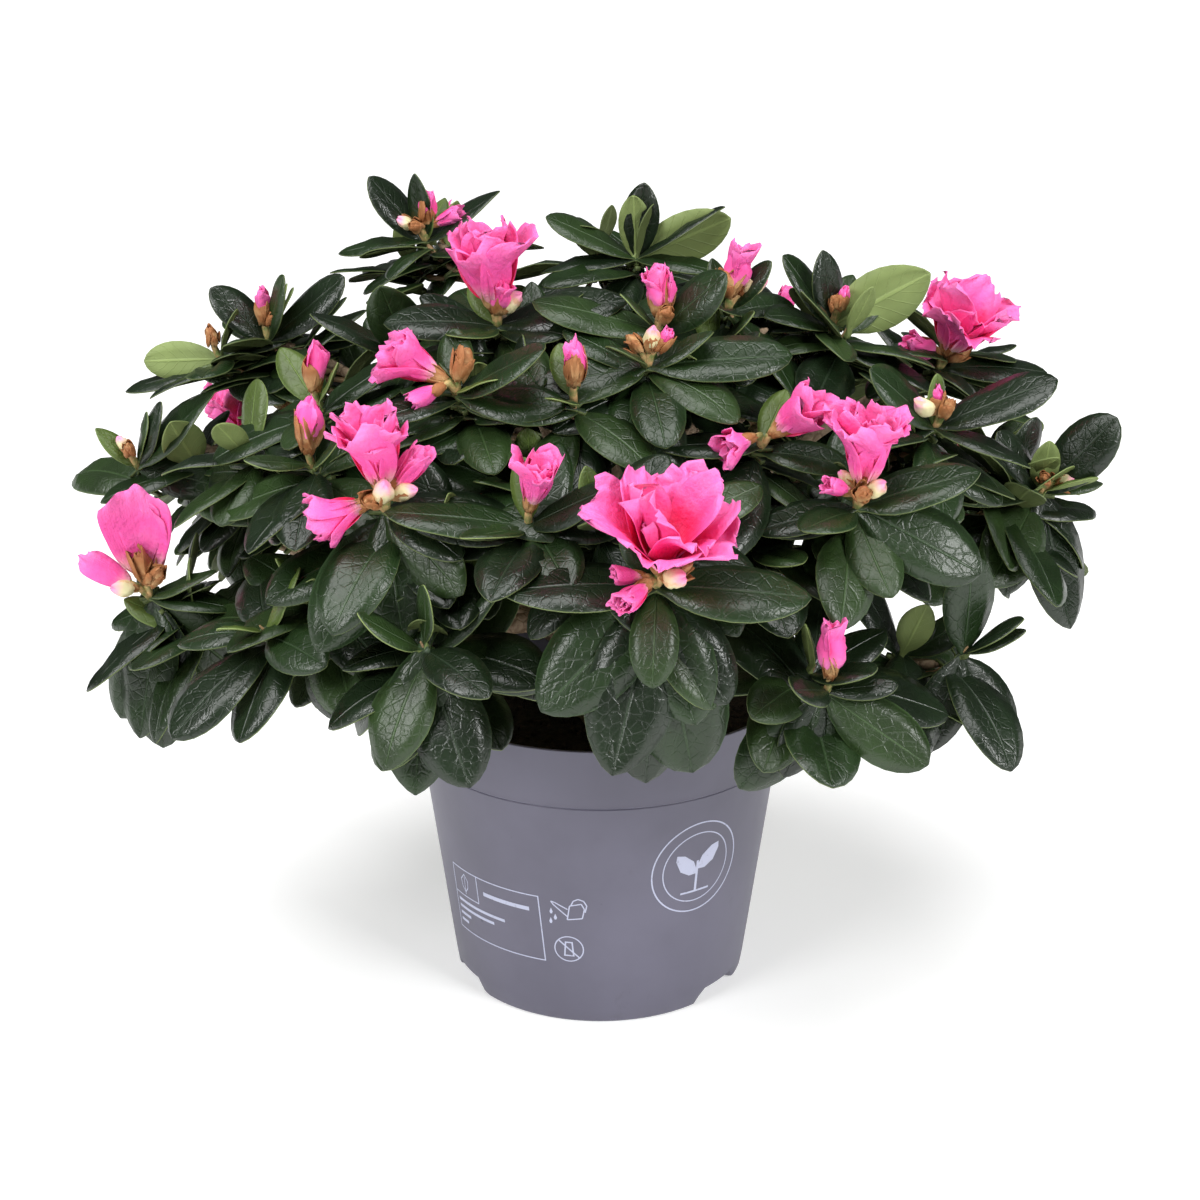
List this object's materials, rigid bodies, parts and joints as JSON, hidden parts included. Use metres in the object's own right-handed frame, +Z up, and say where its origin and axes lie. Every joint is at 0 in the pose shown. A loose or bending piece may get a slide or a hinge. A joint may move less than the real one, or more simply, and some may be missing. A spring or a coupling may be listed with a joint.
{
  "type": "potted azalea shrub",
  "caption": "Low flowering azalea shrub with a short forked stem, arching boughs and a broad dome of leafy shoots, rooted in peat in a tapered plastic nursery pot.",
  "frame": {"origin": "centre of the pot's flat underside", "axes": "+Z up; -Y towards the front of the plant, +X to its right seen from the front"},
  "size_m": [0.3408, 0.3297, 0.2751],
  "materials": {
    "pot": "matte mid grey polypropylene, slightly violet",
    "soil": "moist crumbly peat",
    "bark": "thin grey-brown bark",
    "leaves": "glossy dark evergreen leaves with pink blossom"
  },
  "bodies": {
    "root": {"bough_back_left": "bark", "bough_back_left_low": "bark", "bough_back_low": "bark", "bough_back_right_low": "bark", "bough_front": "bark", "bough_front_left": "bark", "bough_front_left_low": "bark", "bough_front_low": "bark", "bough_front_right": "bark", "bough_front_right_low": "bark", "bough_left": "bark", "bough_left_back_low": "bark", "bough_left_front_low": "bark", "bough_left_low": "bark", "bough_right": "bark", "bough_right_back": "bark", "bough_right_back_low": "bark", "bough_right_front_low": "bark", "bough_right_low": "bark", "foliage_back_left": "leaves", "foliage_back_left_low": "leaves", "foliage_back_low": "leaves", "foliage_back_right": "leaves", "foliage_back_right_low": "leaves", "foliage_crown_back": "leaves", "foliage_crown_front": "leaves", "foliage_crown_front_left": "leaves", "foliage_crown_left": "leaves", "foliage_crown_left_back": "leaves", "foliage_crown_left_front": "leaves", "foliage_crown_middle_left": "leaves", "foliage_crown_right": "leaves", "foliage_crown_right_back": "leaves", "foliage_crown_right_front": "leaves", "foliage_crown_top": "leaves", "foliage_front": "leaves", "foliage_front_left": "leaves", "foliage_front_left_low": "leaves", "foliage_front_low": "leaves", "foliage_front_right": "leaves", "foliage_front_right_low": "leaves", "foliage_left": "leaves", "foliage_left_back": "leaves", "foliage_left_back_low": "leaves", "foliage_left_front": "leaves", "foliage_left_front_low": "leaves", "foliage_left_low": "leaves", "foliage_right": "leaves", "foliage_right_back": "leaves", "foliage_right_back_low": "leaves", "foliage_right_front_low": "leaves", "foliage_right_low": "leaves", "foliage_right_rear": "leaves", "pot": "pot", "soil": "soil", "stem": "bark"}
  },
  "joints": []
}
